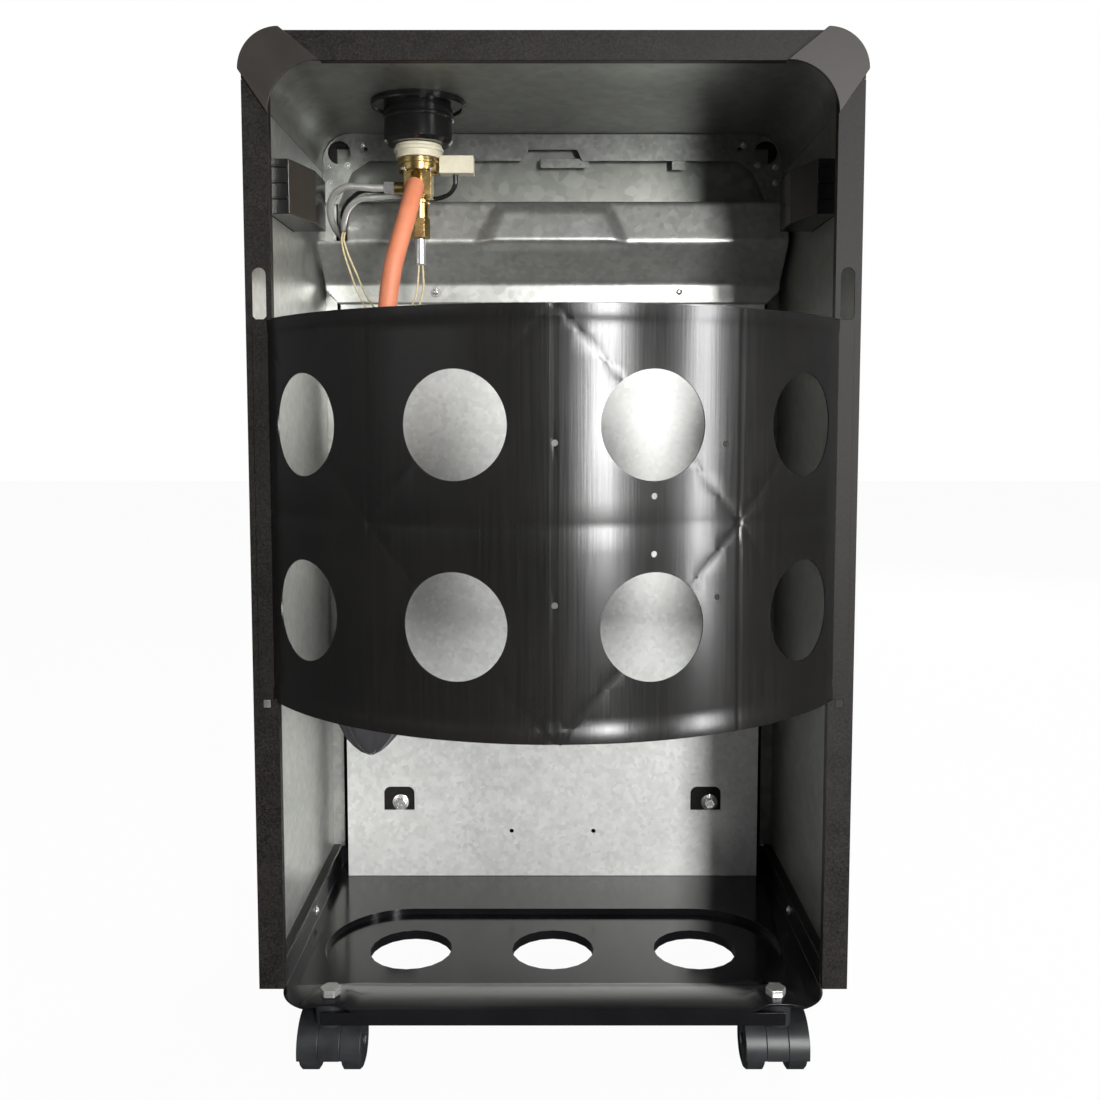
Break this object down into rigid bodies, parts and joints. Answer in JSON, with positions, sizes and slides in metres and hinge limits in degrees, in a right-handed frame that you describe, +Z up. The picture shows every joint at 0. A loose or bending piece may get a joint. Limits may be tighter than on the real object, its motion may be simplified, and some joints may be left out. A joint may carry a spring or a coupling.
{
  "type": "portable gas cabinet heater",
  "caption": "Portable gas cabinet heater on casters, open at the rear for the bottle, with a curved lift-off cover, gas control, hose and radiant plaques behind a guard.",
  "frame": {"origin": "on the floor under the middle of the heater's bounding box", "axes": "+Z up, -Y towards the rear, open bottle side, +Y towards the burner side, +X to the right seen from the rear"},
  "size_m": [0.4246, 0.3948, 0.753],
  "materials": {
    "powder_coat": "fine-textured black powder coat",
    "cap_plastic": "satin dark brown-grey moulding",
    "black_plastic": "black moulding",
    "enamel": "gloss black enamel",
    "galvanised": "bare galvanised sheet",
    "steel": "bright zinc plate",
    "brass": "turned brass",
    "nylon": "ivory nylon",
    "hose_rubber": "orange gas hose",
    "aluminium": "bare aluminium",
    "ceramic": "porous ceramic",
    "cable_black": "black cable sleeve",
    "lead_sleeve": "braided cream sleeve",
    "bag_film": "dark film",
    "caster_plastic": "dark grey moulding"
  },
  "bodies": {
    "cabinet": {"left_side_panel": "powder_coat", "right_side_panel": "powder_coat", "top_panel": "powder_coat", "front_frame": "powder_coat", "front_lower_panel": "powder_coat", "corner_cap_left": "cap_plastic", "corner_cap_right": "cap_plastic", "handle_cup_left": "black_plastic", "handle_cup_right": "black_plastic", "control_bezel": "black_plastic", "base_tray": "enamel", "firewall": "galvanised", "heat_shield": "galvanised", "top_rail": "galvanised", "bracket_left": "galvanised", "bracket_right": "galvanised", "burner_housing": "galvanised", "ceramic_plaque_left": "ceramic", "ceramic_plaque_middle": "ceramic", "ceramic_plaque_right": "ceramic", "gas_manifold": "steel", "wire_guard": "steel", "pilot_burner": "brass", "valve_collar": "nylon", "valve_body": "brass", "ignition_switch": "nylon", "tube_nut": "steel", "interrupter_barrel": "brass", "interrupter_tip": "steel", "gas_hose": "hose_rubber", "regulator": "aluminium", "regulator_bag": "bag_film", "feed_tube": "aluminium", "pilot_tube": "aluminium", "ignition_cable": "cable_black", "interrupter_lead_a": "lead_sleeve", "interrupter_lead_b": "lead_sleeve", "caster_bolt_rear_left": "steel", "caster_bolt_rear_right": "steel", "caster_bolt_front_left": "steel", "caster_bolt_front_right": "steel"},
    "cover": {"bottle_cover": "enamel"},
    "spindle": {"valve_spindle": "steel"},
    "knob": {"control_knob": "black_plastic"},
    "caster_rear_left": {"caster_hood_rear_left": "caster_plastic"},
    "wheels_rear_left": {"caster_wheel_a_rear_left": "caster_plastic", "caster_wheel_b_rear_left": "caster_plastic", "caster_axle_rear_left": "steel"},
    "caster_rear_right": {"caster_hood_rear_right": "caster_plastic"},
    "wheels_rear_right": {"caster_wheel_a_rear_right": "caster_plastic", "caster_wheel_b_rear_right": "caster_plastic", "caster_axle_rear_right": "steel"},
    "caster_front_left": {"caster_hood_front_left": "caster_plastic"},
    "wheels_front_left": {"caster_wheel_a_front_left": "caster_plastic", "caster_wheel_b_front_left": "caster_plastic", "caster_axle_front_left": "steel"},
    "caster_front_right": {"caster_hood_front_right": "caster_plastic"},
    "wheels_front_right": {"caster_wheel_a_front_right": "caster_plastic", "caster_wheel_b_front_right": "caster_plastic", "caster_axle_front_right": "steel"}
  },
  "joints": [
    {"name": "cover_lift", "type": "slide", "parent": "cabinet", "child": "cover", "axis": [0, 0, 1], "range_m": [0, 0.036]},
    {"name": "knob_push", "type": "slide", "parent": "cabinet", "child": "spindle", "axis": [0, 0, -1], "range_m": [0, 0.006], "stiffness_N_per_m": 900},
    {"name": "knob_turn", "type": "hinge", "parent": "spindle", "child": "knob", "pos_m": [-0.11, 0.07712, 0.74], "axis": [0, 0, -1], "range_deg": [0, 180]},
    {"name": "swivel_rear_left", "type": "hinge", "parent": "cabinet", "child": "caster_rear_left", "pos_m": [-0.163, -0.06888, 0.045], "axis": [0, 0, 1], "continuous": true},
    {"name": "roll_rear_left", "type": "hinge", "parent": "caster_rear_left", "child": "wheels_rear_left", "pos_m": [-0.163, -0.05888, 0.02], "axis": [1, 0, 0], "continuous": true},
    {"name": "swivel_rear_right", "type": "hinge", "parent": "cabinet", "child": "caster_rear_right", "pos_m": [0.163, -0.06888, 0.045], "axis": [0, 0, 1], "continuous": true},
    {"name": "roll_rear_right", "type": "hinge", "parent": "caster_rear_right", "child": "wheels_rear_right", "pos_m": [0.163, -0.05888, 0.02], "axis": [1, 0, 0], "continuous": true},
    {"name": "swivel_front_left", "type": "hinge", "parent": "cabinet", "child": "caster_front_left", "pos_m": [-0.163, 0.16312, 0.045], "axis": [0, 0, 1], "continuous": true},
    {"name": "roll_front_left", "type": "hinge", "parent": "caster_front_left", "child": "wheels_front_left", "pos_m": [-0.163, 0.17312, 0.02], "axis": [1, 0, 0], "continuous": true},
    {"name": "swivel_front_right", "type": "hinge", "parent": "cabinet", "child": "caster_front_right", "pos_m": [0.163, 0.16312, 0.045], "axis": [0, 0, 1], "continuous": true},
    {"name": "roll_front_right", "type": "hinge", "parent": "caster_front_right", "child": "wheels_front_right", "pos_m": [0.163, 0.17312, 0.02], "axis": [1, 0, 0], "continuous": true}
  ]
}
